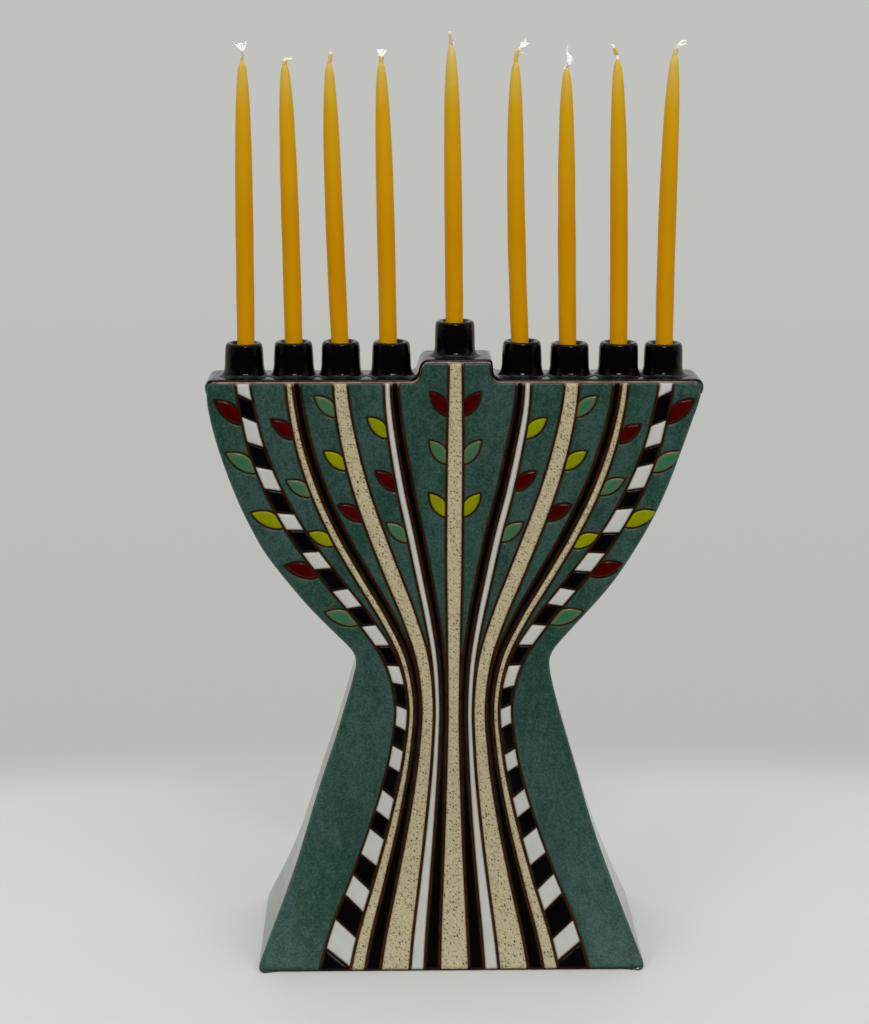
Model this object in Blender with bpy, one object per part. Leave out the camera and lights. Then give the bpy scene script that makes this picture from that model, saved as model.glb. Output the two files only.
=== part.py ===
"""Tree of life menorah: a hollow slab-built ceramic body, nine candle cups and nine dipped candles.

Units are metres. +X is to the viewer's right, +Y runs to the back and +Z is up. The origin is the
middle of the foot, on the surface that the menorah stands on.
"""

import math

import bmesh
import bpy

MM = 0.001

# Clay body
SLAB = 5.0 * MM            # thickness of every clay slab
GAP = 0.3 * MM             # clearance between pieces that touch
DECK_Z = 276.7 * MM        # top of the shelf that carries the eight outer cups
STEP_Z = 285.9 * MM        # top of the raised centre step
DECK_DEPTH = 29.0 * MM     # front to back, from the top down to where the flare begins
FOOT_DEPTH = 87.0 * MM     # front to back, on the ground
FLARE_Z = 100.0 * MM       # height at which front and back begin to flare
FLARE_POWER = 2.3          # how suddenly they flare
CORNER_RADIUS = 1.6 * MM   # rounding of the shelf's two top corners
FOOT_RADIUS = 1.2 * MM     # rounding of the foot's corners

# Outline of the body seen from the front: height and distance from the centre line, in millimetres.
# The two edges were cut by hand, so they differ a little.
LEFT_EDGE = (
    (0.0, 92.8), (13.0, 87.5), (30.0, 80.4), (47.5, 73.9), (66.0, 68.2), (85.0, 62.4),
    (100.0, 57.3), (115.0, 52.9), (129.0, 48.8), (138.0, 46.5), (142.5, 45.6), (146.0, 46.0),
    (149.0, 47.5), (154.5, 52.5), (162.0, 59.8), (171.5, 68.5), (181.0, 76.1), (191.0, 83.7),
    (198.0, 88.3), (212.0, 95.4), (224.0, 100.5), (238.0, 105.4), (252.0, 109.5), (264.0, 111.9),
    (270.0, 112.4), (276.7, 112.4),
)
RIGHT_EDGE = (
    (0.0, 90.3), (8.0, 87.0), (20.5, 81.8), (37.5, 75.1), (55.5, 68.5), (74.5, 62.5),
    (92.0, 57.6), (106.5, 53.3), (122.0, 48.9), (134.5, 45.8), (141.5, 44.7), (145.5, 45.0),
    (150.0, 47.2), (157.5, 53.4), (165.0, 59.9), (176.0, 69.4), (185.0, 76.0), (197.0, 83.5),
    (211.5, 91.3), (223.5, 96.6), (237.5, 101.6), (251.5, 106.2), (263.0, 109.9), (270.0, 112.0),
    (276.7, 112.4),
)
ROW_HEIGHTS = (
    0.0, 5.0, 11.0, 18.0, 26.0, 35.0, 46.0, 59.0, 74.0, 90.0, 106.0, 120.0, 130.0, 136.0, 140.0,
    143.0, 146.0, 149.0, 153.0, 158.0, 164.0, 171.0, 179.0, 188.0, 197.0, 207.0, 219.0, 232.0,
    246.0, 259.0,
)

STEP_LEFT = -15.6 * MM     # outer faces of the centre step
STEP_RIGHT = 17.0 * MM

# Top line of the centre step, in millimetres: a soft ramp on the left, a sharp step on the right.
STEP_LINE = (
    (-22.0, 276.7), (-19.2, 276.7), (-17.3, 277.7), (-16.2, 279.8), (-15.6, 282.8), (-14.4, 285.0),
    (-12.4, 285.9), (15.2, 285.9), (16.6, 285.4), (17.0, 280.2), (17.8, 278.1), (19.3, 277.0),
    (21.0, 276.7),
)

# Candle cups: centre, base radius, rim radius and height of each, in millimetres, left to right.
CUPS = (
    (-96.1, 9.2, 8.4, 15.2), (-73.5, 9.4, 8.5, 15.8), (-51.9, 9.2, 8.6, 15.9),
    (-28.8, 9.2, 8.5, 15.8), (0.3, 9.4, 8.9, 16.0), (31.1, 9.5, 8.6, 16.0),
    (53.0, 9.2, 8.7, 15.0), (75.5, 9.3, 8.8, 15.3), (96.1, 9.2, 8.7, 15.0),
)
CENTRE_CUP = 4
BORE_RADIUS = 5.3 * MM     # candle socket
SOCKET_DEPTH = 11.0 * MM
RIM_ROUND = 1.5 * MM       # rounding of a cup's rim
CUP_SIDES = 24

# Candles, left to right, in millimetres: centre line at the cup, half way up and at the tip of the
# wax, then the height of that tip.
CANDLES = (
    (-95.3, -94.8, -94.4, 418.5), (-73.3, -74.2, -75.6, 417.5), (-51.9, -54.3, -55.9, 417.5),
    (-30.1, -31.2, -32.9, 418.0), (0.2, -0.7, -1.8, 425.5), (30.7, 27.8, 26.9, 418.5),
    (52.3, 50.7, 49.6, 415.0), (75.5, 74.3, 72.2, 419.0), (96.5, 96.3, 97.6, 422.0),
)
# Wax radius by distance below the tip, in millimetres.
WAX_PROFILE = (
    (0.0, 1.35), (2.0, 1.55), (6.0, 2.05), (12.0, 2.6), (21.0, 3.15), (33.0, 3.5), (52.0, 3.8),
    (76.0, 3.95), (105.0, 3.95), (128.0, 3.9),
)
CANDLE_SIDES = 14
WICK_RADIUS = 0.7 * MM
WICK_BORE = 1.0 * MM
WICK_SIDES = 7
WICK_START = 1.0 * MM      # the wick begins this far above the foot of the wax

# Free end of each wick, in millimetres sideways and up from the tip of the wax.
WICKS = (
    ((0.0, 1.5), (-0.2, 4.0), (-0.6, 6.8)),
    ((0.1, 0.9), (0.9, 1.9), (2.6, 1.8)),
    ((0.0, 1.2), (0.0, 2.8), (0.1, 4.8)),
    ((0.0, 1.2), (0.0, 2.6), (-0.1, 4.4)),
    ((0.0, 1.5), (-0.2, 3.6), (-0.6, 6.0)),
    ((0.2, 1.6), (1.3, 4.4), (3.6, 7.8)),
    ((0.0, 2.4), (-0.1, 5.6), (-0.2, 9.8)),
    ((-0.2, 1.4), (-1.0, 3.8), (-2.1, 6.4)),
    ((0.2, 1.2), (1.5, 3.4), (4.1, 4.4)),
)

# Colour, roughness and metallic value of each finish.
FINISHES = {
    "green_glaze": ((0.030, 0.055, 0.047), 0.35, 0.0),
    "black_glaze": ((0.004, 0.004, 0.004), 0.08, 0.0),
    "beeswax": ((0.55, 0.24, 0.010), 0.40, 0.0),
    "cotton": ((0.80, 0.78, 0.72), 0.90, 0.0),
}


def clear_scene():
    for obj in list(bpy.data.objects):
        bpy.data.objects.remove(obj, do_unlink=True)


def make_material(name, finish):
    colour, roughness, metallic = FINISHES[finish]
    material = bpy.data.materials.new(name)
    material.use_nodes = True
    shader = material.node_tree.nodes["Principled BSDF"]
    shader.inputs["Base Color"].default_value = (*colour, 1.0)
    shader.inputs["Roughness"].default_value = roughness
    shader.inputs["Metallic"].default_value = metallic
    return material


def add_object(name, bm, finish, origin=(0.0, 0.0, 0.0), smooth=False):
    """Turn a bmesh into a named object whose origin is at the given point."""
    bmesh.ops.recalc_face_normals(bm, faces=bm.faces)
    bmesh.ops.translate(bm, verts=bm.verts, vec=[-value for value in origin])
    mesh = bpy.data.meshes.new(name)
    bm.to_mesh(mesh)
    bm.free()
    if smooth:
        mesh.shade_smooth()
        mesh.set_sharp_from_angle(angle=math.radians(40.0))
    mesh.materials.append(make_material(name, finish))
    obj = bpy.data.objects.new(name, mesh)
    obj.location = origin
    bpy.context.collection.objects.link(obj)
    return obj


def smooth_value(knots, x):
    """Cubic curve through (x, value) knots, held constant outside them."""
    if x <= knots[0][0]:
        return knots[0][1]
    if x >= knots[-1][0]:
        return knots[-1][1]
    i = max(k for k in range(len(knots) - 1) if knots[k][0] <= x)

    def slope(k):
        low = max(k - 1, 0)
        high = min(k + 1, len(knots) - 1)
        return (knots[high][1] - knots[low][1]) / (knots[high][0] - knots[low][0])

    span = knots[i + 1][0] - knots[i][0]
    t = (x - knots[i][0]) / span
    start = knots[i][1] * (2 * t**3 - 3 * t**2 + 1) + slope(i) * span * (t**3 - 2 * t**2 + t)
    end = knots[i + 1][1] * (3 * t**2 - 2 * t**3) + slope(i + 1) * span * (t**3 - t**2)
    return start + end


def edge_x(edge, z):
    """Distance of an edge from the centre line at a height, with rounded corners top and bottom."""
    x = smooth_value(edge, z / MM) * MM
    for radius, distance in ((CORNER_RADIUS, DECK_Z - z), (FOOT_RADIUS, z)):
        if distance < radius:
            x -= radius - math.sqrt(max(radius**2 - (radius - distance)**2, 0.0))
    return x


def lean_factor(function, z):
    """How much longer a horizontal cut through a leaning slab is than the slab is thick."""
    low = max(z - 1.0 * MM, 0.0)
    high = z + 1.0 * MM
    slope = (function(high) - function(low)) / (high - low)
    return math.sqrt(1.0 + slope**2)


def outer_y(z):
    """Distance of the front and back faces from the middle plane at a height."""
    t = max((FLARE_Z - z) / FLARE_Z, 0.0)
    return (DECK_DEPTH + (FOOT_DEPTH - DECK_DEPTH) * t**FLARE_POWER) / 2


def inner_y(z):
    return outer_y(z) - SLAB * lean_factor(outer_y, z)


def row_heights(top):
    """Heights of the rows of points from the foot up, closer together at rounded corners."""
    rows = [value * MM for value in ROW_HEIGHTS if value * MM < top - 3 * MM]
    rows.insert(1, FOOT_RADIUS / 3)
    rows.insert(2, FOOT_RADIUS)
    if top == DECK_Z:
        rows += [267.0 * MM, DECK_Z - CORNER_RADIUS, DECK_Z - CORNER_RADIUS / 3]
    rows.append(top)
    return rows


def bridge_rings(bm, rings, closed):
    """Join successive rings of points with quads; a closed stack also joins the last to the first."""
    pairs = list(zip(rings, rings[1:]))
    if closed:
        pairs.append((rings[-1], rings[0]))
    for low, high in pairs:
        count = len(low)
        for k in range(count):
            after = (k + 1) % count
            bm.faces.new((low[k], low[after], high[after], high[k]))


def face_panel(name, side):
    """The front (side -1) or back (side +1) slab, with the raised step in its top edge."""
    bm = bmesh.new()
    step = [(x * MM, z * MM) for x, z in STEP_LINE]
    rows = row_heights(DECK_Z)

    def skin(y_at):
        grid = []
        for z in rows:
            xs = [-edge_x(LEFT_EDGE, z)] + [x for x, _ in step] + [edge_x(RIGHT_EDGE, z)]
            grid.append([bm.verts.new((x, side * y_at(z), z)) for x in xs])
        crown = [bm.verts.new((x, side * y_at(z), z)) for x, z in step[2:-1]]
        for low, high in zip(grid, grid[1:]):
            for k in range(len(low) - 1):
                bm.faces.new((low[k], low[k + 1], high[k + 1], high[k]))
        base = grid[-1]
        bm.faces.new(base[2:-1] + crown[::-1])
        bottom = grid[0]
        right = [row[-1] for row in grid[1:]]
        top = [base[-2]] + crown[::-1] + [base[2], base[1], base[0]]
        left = [row[0] for row in reversed(grid[:-1])][:-1]
        return bottom + right + top + left

    outline = skin(outer_y)
    inner = skin(inner_y)
    bridge_rings(bm, [outline, inner], closed=False)
    bmesh.ops.triangulate(bm, faces=[face for face in bm.faces if len(face.verts) > 4])
    return add_object(name, bm, "green_glaze")


def side_wall(name, side, edge):
    """The slab that closes the body on one side, between the front and back slabs."""
    bm = bmesh.new()
    top = DECK_Z - SLAB - GAP

    def edge_line(z):
        return smooth_value(edge, z / MM) * MM

    rings = []
    for z in row_heights(top):
        outside = edge_x(edge, z)
        inside = edge_line(z) - SLAB * lean_factor(edge_line, z)
        y = inner_y(z) - GAP
        corners = ((outside, -y), (outside, y), (inside, y), (inside, -y))
        rings.append([bm.verts.new((side * x, y_corner, z)) for x, y_corner in corners])
    bridge_rings(bm, rings, closed=False)
    bm.faces.new(rings[0])
    bm.faces.new(rings[-1])
    return add_object(name, bm, "green_glaze")


def extruded_profile(name, profile, finish):
    """A closed profile in the XZ plane, extruded between the front and back slabs.

    The second half of the profile runs back along the first half, point by point, so that each
    end is a row of four-sided faces.
    """
    half = inner_y(DECK_Z) - GAP
    bm = bmesh.new()
    near = [bm.verts.new((x, -half, z)) for x, z in profile]
    far = [bm.verts.new((x, half, z)) for x, z in profile]
    bridge_rings(bm, [near, far], closed=False)
    for ring in (near, far):
        for k in range(len(ring) // 2 - 1):
            bm.faces.new((ring[k], ring[k + 1], ring[-2 - k], ring[-1 - k]))
    return add_object(name, bm, finish)


def outer_deck(name, side, edge, inner_end):
    """One of the two flat shelves, from the body's outer corner to the centre platform."""
    corner = [DECK_Z, DECK_Z - CORNER_RADIUS / 3, DECK_Z - CORNER_RADIUS, DECK_Z - SLAB]
    profile = [(side * edge_x(edge, z), z) for z in corner]
    profile += [(inner_end, DECK_Z - SLAB), (inner_end, DECK_Z)]
    return extruded_profile(name, profile, "black_glaze")


def centre_platform():
    """The raised step for the servant light: a top and two legs that end level with the decks."""
    outside = [(x * MM, z * MM) for x, z in STEP_LINE]
    left_leg = STEP_LEFT + SLAB
    right_leg = STEP_RIGHT - SLAB
    roof = STEP_Z - SLAB
    under = DECK_Z - SLAB
    rise = roof - under
    left_bend = [(left_leg, under + share * rise) for share in (0.0, 0.45, 0.85, 1.0)]
    right_bend = [(right_leg, under + share * rise) for share in (1.0, 0.85, 0.4, 0.0)]
    lining = [(outside[0][0], under), (outside[1][0], under), (left_leg - SLAB, under)]
    lining += left_bend + right_bend
    lining += [(right_leg + 0.9 * SLAB, under), (outside[-1][0], under)]
    return extruded_profile("centre_platform", outside + lining[::-1], "black_glaze")


def candle_cup(index):
    """A thrown cup: tapered outside, rounded rim and a blind socket for a candle."""
    x, base, rim, height = (value * MM for value in CUPS[index])
    floor = (STEP_Z if index == CENTRE_CUP else DECK_Z) + GAP
    shoulder = height - RIM_ROUND
    lip = BORE_RADIUS + 0.6 * MM
    profile = (
        (base, 0.0), (base - 0.25 * (base - rim), 0.25 * shoulder), (rim, shoulder),
        (rim - 0.3 * RIM_ROUND, height - 0.3 * RIM_ROUND), (rim - RIM_ROUND, height),
        (lip, height), (BORE_RADIUS, height - 0.6 * MM), (BORE_RADIUS, height - SOCKET_DEPTH),
    )
    bm = bmesh.new()
    rings = []
    for radius, z in profile:
        ring = []
        for k in range(CUP_SIDES):
            angle = 2 * math.pi * k / CUP_SIDES
            point = (x + radius * math.cos(angle), radius * math.sin(angle), floor + z)
            ring.append(bm.verts.new(point))
        rings.append(ring)
    bridge_rings(bm, rings, closed=False)
    bm.faces.new(rings[0])
    bm.faces.new(rings[-1])
    return add_object(f"candle_cup_{index + 1}", bm, "black_glaze", smooth=True)


def socket_floor(index):
    height = CUPS[index][3] * MM
    deck = STEP_Z if index == CENTRE_CUP else DECK_Z
    return deck + GAP + height - SOCKET_DEPTH


def candle_centre(index, z):
    """Sideways place of a candle's centre line at a height: a gentle bend through three points."""
    at_cup, half_way, at_tip, tip = CANDLES[index]
    low = socket_floor(index) + GAP
    t = (z - low) / (tip * MM - low)
    bend = 4 * (half_way - (at_cup + at_tip) / 2)
    return (at_cup + (at_tip - at_cup) * t + bend * t * (1 - t)) * MM


def ring_at(bm, x, z, radius, sides):
    angles = [2 * math.pi * k / sides for k in range(sides)]
    return [bm.verts.new((x + radius * math.cos(a), radius * math.sin(a), z)) for a in angles]


def candle(index):
    """A dipped candle: tapering wax with a bore along its centre line for the wick."""
    foot = socket_floor(index) + GAP
    tip = CANDLES[index][3] * MM
    bm = bmesh.new()
    levels = [(tip - below * MM, radius * MM) for below, radius in WAX_PROFILE]
    levels = [(z, radius) for z, radius in levels if z > foot]
    levels.append((foot, WAX_PROFILE[-1][1] * MM))
    outer = [ring_at(bm, candle_centre(index, z), z, r, CANDLE_SIDES) for z, r in reversed(levels)]
    bore = [ring_at(bm, candle_centre(index, z), z, WICK_BORE, CANDLE_SIDES) for z, _ in levels]
    bridge_rings(bm, outer + bore, closed=True)
    origin = (candle_centre(index, foot), 0.0, foot)
    return add_object(f"candle_{index + 1}", bm, "beeswax", origin, smooth=True)


def wick(index):
    """A cotton wick: it runs down the middle of the wax and stands free above the tip."""
    foot = socket_floor(index) + GAP
    tip = CANDLES[index][3] * MM
    start = foot + WICK_START
    bm = bmesh.new()
    heights = [tip - below * MM for below, _ in reversed(WAX_PROFILE) if tip - below * MM > start]
    rings = []
    for z in [start] + heights:
        rings.append(ring_at(bm, candle_centre(index, z), z, WICK_RADIUS, WICK_SIDES))
    path = [(candle_centre(index, tip) + x * MM, tip + z * MM) for x, z in WICKS[index]]
    below = (candle_centre(index, tip), tip)
    for k, (x, z) in enumerate(path):
        after = path[min(k + 1, len(path) - 1)]
        lean = math.atan2(after[0] - below[0], after[1] - below[1])
        ring = ring_at(bm, 0.0, 0.0, WICK_RADIUS, WICK_SIDES)
        for vert in ring:
            across, deep, _ = vert.co
            vert.co = (x + across * math.cos(lean), deep, z - across * math.sin(lean))
        rings.append(ring)
        below = (x, z)
    bridge_rings(bm, rings, closed=False)
    bm.faces.new(rings[0])
    bm.faces.new(rings[-1])
    origin = (candle_centre(index, foot), 0.0, foot)
    return add_object(f"wick_{index + 1}", bm, "cotton", origin, smooth=True)


def main():
    clear_scene()
    face_panel("front_panel", -1)
    face_panel("back_panel", 1)
    side_wall("left_side_wall", -1, LEFT_EDGE)
    side_wall("right_side_wall", 1, RIGHT_EDGE)
    outer_deck("left_deck", -1, LEFT_EDGE, STEP_LINE[0][0] * MM - GAP)
    outer_deck("right_deck", 1, RIGHT_EDGE, STEP_LINE[-1][0] * MM + GAP)
    centre_platform()
    for index in range(len(CUPS)):
        candle_cup(index)
        candle(index)
        wick(index)


main()
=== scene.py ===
"""Looks of a nine-light ceramic menorah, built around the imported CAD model."""

import math
import random

import bpy
import numpy as np
from mathutils import Matrix, Vector


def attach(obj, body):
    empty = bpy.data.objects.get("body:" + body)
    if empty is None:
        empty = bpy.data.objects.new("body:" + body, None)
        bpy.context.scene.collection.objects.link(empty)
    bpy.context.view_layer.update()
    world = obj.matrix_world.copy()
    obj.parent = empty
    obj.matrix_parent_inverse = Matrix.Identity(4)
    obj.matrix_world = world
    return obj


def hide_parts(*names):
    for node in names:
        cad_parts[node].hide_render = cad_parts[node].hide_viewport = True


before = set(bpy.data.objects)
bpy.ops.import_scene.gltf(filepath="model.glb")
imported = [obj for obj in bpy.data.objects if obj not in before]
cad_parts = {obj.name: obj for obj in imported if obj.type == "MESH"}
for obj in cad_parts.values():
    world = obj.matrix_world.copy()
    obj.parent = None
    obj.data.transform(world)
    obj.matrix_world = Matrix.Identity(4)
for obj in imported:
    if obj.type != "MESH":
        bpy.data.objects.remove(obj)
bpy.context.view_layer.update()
MM = 0.001

# ---------------- sizes, in millimetres
SLAB = 5.0  # clay slab
DECK_Z = 276.7  # top of the outer decks
DECK_END = 112.4  # from the middle to the end of a deck
DECK_HALF = 14.5  # half the depth of the decks
SIDE_GLAZE = 0.25  # how far the side walls' glaze stands out
FLOOR_RADIUS = 9000
EDGE_ROUND = 1.5  # rounding of the slabs' outer edges
TOP_LINE = 0.75  # bare clay left along the top edge
FOOT_LINE = 0.9  # bare clay left along the foot
LINE = 0.58  # half the width of a bare clay line
LEAF_LINE = 0.24  # half the width of the line round a leaf
JOINT_LINE = 0.14  # half the width of the joint between two tiles
GRID = 0.5  # spacing of the glaze surfaces
GLAZE = 0.55  # height of a glaze pool
SINK = 0.12  # how far a pool's border sits in the clay
OUTSIDE = -9.0  # field value where there is nothing
FOOT_HEIGHTS = (0.0, 0.4, 1.2, 2.4)  # where the body's outline rounds in at the foot
FOOT_INSETS = (2.4, 1.5, 0.6, 0.1)

# The fitted camera: place in metres, angles in degrees, focal length in pixels.
CAMERA_PLACE = (-0.0280, -0.9523, 0.4446)
CAMERA_YAW = 1.150
CAMERA_DOWN = 13.713
CAMERA_ROLL = 0.089
FOCAL_PIXELS = 2100.0
PICTURE_HEIGHT = 1024.0
SENSOR = 36.0

# ---------------- the painted tree
# A plain sheaf of nine branches, one to each cup, laid out the same way on both sides.
# Rows of height, spacing of the branches and half the width of one.
SHEAF = (
    (-8, 14.6, 7.3), (12, 13.2, 6.6), (38, 10.8, 5.4), (68, 8.4, 4.2), (98, 6.7, 3.35), (125, 6.2, 3.1),
    (145, 7.4, 3.3), (165, 10.4, 3.6), (185, 14.2, 3.9), (205, 17.8, 4.0), (225, 20.6, 4.0),
    (245, 22.6, 3.9), (265, 23.8, 3.6), (290, 24.6, 3.2),
)
TOP_SPACING = 24.2  # mean spacing of the cups
DRIFT_START = 200  # from this height on, a branch heads for its own cup
DRIFT_RUN = 65
BRANCH_GLAZES = ("cream", "black", "cream", "black", "check")  # from the middle outwards
BRANCH_EDGES = (None, "white", None, "cream", None)  # a second band on the outer side
LEAF_HEIGHTS = ((212, 236, 258), (200, 224, 248))  # even and odd branches
OUTER_LEAF_HEIGHTS = (164, 188)  # more on the outermost branches
LEAF_SIZE = (14, 6.6)
OUTER_LEAF_SIZE = (17, 7.4)
LEAF_TURN = 34  # degrees away from the branch
LEAF_GLAZES = ("lime", "teal", "red")
TILE_COUNT = 29
TILE_SLANTS = (0.4, 0.8)  # at the foot and at the top

rng = np.random.default_rng(11)


# ---------------- curves and fields
def smooth_line(knots_x, knots_y, x):
    """Cubic curve through knots, for an array of positions."""
    knots_x = np.asarray(knots_x, float)
    knots_y = np.asarray(knots_y, float)
    slopes = np.gradient(knots_y, knots_x)
    i = np.clip(np.searchsorted(knots_x, x) - 1, 0, len(knots_x) - 2)
    span = knots_x[i + 1] - knots_x[i]
    t = (x - knots_x[i]) / span
    rise = knots_y[i] * (1 - t) ** 2 * (1 + 2 * t) + knots_y[i + 1] * t ** 2 * (3 - 2 * t)
    return rise + span * (slopes[i] * t * (1 - t) ** 2 - slopes[i + 1] * t ** 2 * (1 - t))


def node_points(node):
    return np.array([v.co[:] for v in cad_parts[node].data.vertices]) / MM


def panel_rows():
    """Height, left edge, right edge and depth of the front slab's face, row by row."""
    points = node_points("front_panel")
    rows = []
    for z in np.unique(np.round(points[:, 2], 1)):
        if 1.0 < z < DECK_Z - 1.0:
            row = points[abs(points[:, 2] - z) < 0.06]
            front = row[row[:, 1] < row[:, 1].min() + 0.01]
            rows.append((z, front[:, 0].min(), front[:, 0].max(), -row[:, 1].min()))
    rows = np.array(rows)
    foot = rows[0] - (rows[1] - rows[0]) * rows[0, 0] / (rows[1, 0] - rows[0, 0])
    foot[3] = -points[:, 1].min()
    top = rows[-1].copy()
    top[0] = DECK_Z
    return np.vstack([foot, rows, top])


ROWS = panel_rows()


def left_edge(z):
    return smooth_line(ROWS[:, 0], ROWS[:, 1], z)


def right_edge(z):
    return smooth_line(ROWS[:, 0], ROWS[:, 2], z)


def face_y(z):
    """Distance of the slab's outer face from the middle plane."""
    return smooth_line(ROWS[:, 0], ROWS[:, 3], np.clip(z, 0.0, DECK_Z))


def face_slope(z):
    z = np.clip(z, 0.5, DECK_Z - 0.5)
    return face_y(z + 0.5) - face_y(z - 0.5)


def step_line():
    """The top edge, left to right, over the raised step in the middle."""
    points = node_points("centre_platform")
    upper = points[(points[:, 2] > DECK_Z - 0.1) & (points[:, 1] < 0)]
    upper = np.unique(np.round(upper[:, [0, 2]], 2), axis=0)
    lining = (upper[:, 0] > -11) & (upper[:, 0] < 12.5) & (upper[:, 1] < upper[:, 1].max() - 1)
    return upper[~lining]


STEP = step_line()


def body_outline():
    """The front slab's outline as a closed polygon, with its corners rounded."""
    corner = DECK_Z - np.array([2.8, 1.7, 0.8, 0.25, 0.0])
    heights = np.concatenate([FOOT_HEIGHTS, np.arange(4.0, 273.0, 3.0), corner])
    inset = np.zeros_like(heights)
    inset[:4] = FOOT_INSETS
    inset[-4:] = (0.25, 0.85, 1.7, 2.8)
    left = np.stack([left_edge(heights) + inset, heights], 1)
    right = np.stack([right_edge(heights) - inset, heights], 1)[::-1]
    return np.vstack([left, STEP, right])


OUTLINE = body_outline()


def inside_distance(polygon, x, z):
    """Signed distance from points to a closed polygon, positive inside."""
    best = np.full(x.shape, 1e9)
    inside = np.zeros(x.shape, bool)
    for (ax, az), (bx, bz) in zip(polygon, np.roll(polygon, -1, axis=0)):
        dx = bx - ax
        dz = bz - az
        t = np.clip(((x - ax) * dx + (z - az) * dz) / (dx * dx + dz * dz + 1e-12), 0, 1)
        np.minimum(best, (x - ax - t * dx) ** 2 + (z - az - t * dz) ** 2, out=best)
        if dz:
            inside ^= ((az > z) != (bz > z)) & (x < ax + (z - az) / dz * dx)
    return np.where(inside, 1.0, -1.0) * np.sqrt(best)


class Field:
    """Distances on a regular grid over the front face."""

    def __init__(self, spacing):
        self.spacing = spacing
        self.xs = np.arange(-114.0, 114.0 + spacing, spacing)
        self.zs = np.arange(-1.5, 287.0 + spacing, spacing)
        self.x, self.z = np.meshgrid(self.xs, self.zs)

    def window(self, low, high, margin):
        """Slices of the grid that hold a box and a margin round it."""
        spans = []
        for axis, places in ((1, self.zs), (0, self.xs)):
            first = max(int((low[axis] - margin - places[0]) / self.spacing), 0)
            last = min(int((high[axis] + margin - places[0]) / self.spacing) + 2, len(places))
            spans.append(slice(first, last))
        return tuple(spans)

    def of(self, polygon):
        """Signed distance to a polygon, worked out near it only."""
        field = np.full(self.x.shape, OUTSIDE)
        w = self.window(polygon.min(0), polygon.max(0), 4.0)
        field[w] = np.maximum(field[w], inside_distance(polygon, self.x[w], self.z[w]))
        return field


def branch_lines(knots, step=2.5):
    """Guide line and both outer edges of a branch, as evenly spaced points."""
    knots = np.asarray(knots, float)
    run = np.concatenate([[0], np.cumsum(np.hypot(*np.diff(knots[:, :2], axis=0).T))])
    s = np.linspace(0, run[-1], int(run[-1] / step) + 2)
    x, z, left, right = (smooth_line(run, knots[:, c], s) for c in range(4))
    guide = np.stack([x, z], 1)
    along = np.gradient(guide, axis=0)
    along /= np.linalg.norm(along, axis=1, keepdims=True)
    across = np.stack([-along[:, 1], along[:, 0]], 1)
    return guide, guide + across * left[:, None], guide - across * right[:, None], along


def band(knots, side):
    """Closed polygon of the band on one side of a branch's guide line."""
    guide, left, right, _ = branch_lines(knots)
    return np.vstack([guide, (left if side < 0 else right)[::-1]])


def whole_branch(knots):
    _, left, right, _ = branch_lines(knots)
    return np.vstack([left, right[::-1]])


def cup_centre(number):
    x = node_points(f"candle_cup_{number}")[:, 0]
    return 0.5 * (x.min() + x.max())


def branch(k):
    """Branch k of the sheaf, from -4 on the left to 4 on the right; it ends under its cup."""
    z, spacing, half = np.array(SHEAF, float).T
    drift = cup_centre(k + 5) - k * TOP_SPACING
    x = k * spacing + drift * np.clip((z - DRIFT_START) / DRIFT_RUN, 0, 1)
    left = right = half
    if BRANCH_GLAZES[abs(k)] == "check":
        x = x - np.sign(k) * half
        thin = np.full(len(z), 0.1)
        left, right = (2 * half, thin) if k < 0 else (thin, 2 * half)
    return np.stack([x, z, left, right], 1)


def leaf_polygon(knots, height, side, length, width):
    """A pointed leaf that grows from one edge of a branch."""
    guide, left, right, along = branch_lines(knots)
    edge = left if side < 0 else right
    k = int(np.searchsorted(guide[:, 1], height))
    angle = math.radians(-LEAF_TURN * side)
    dx, dz = along[k]
    direction = np.array([
        dx * math.cos(angle) - dz * math.sin(angle), dx * math.sin(angle) + dz * math.cos(angle),
    ])
    across = np.array([-direction[1], direction[0]])
    s = np.linspace(0, 1, 13)
    half = 0.5 * width * (1 - (2 * s ** 0.92 - 1) ** 2)
    bend = 0.05 * length * np.sin(math.pi * s) * side
    middle = edge[k] + direction * 0.2 + np.outer(s * length, direction) + np.outer(bend, across)
    upper = middle + np.outer(half, across)
    lower = middle - np.outer(half, across)
    return np.vstack([upper, lower[::-1][1:-1]])


# ---------------- meshes from fields
def cell_corners(grid):
    return np.stack([grid[:-1, :-1], grid[:-1, 1:], grid[1:, 1:], grid[1:, :-1]])


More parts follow.
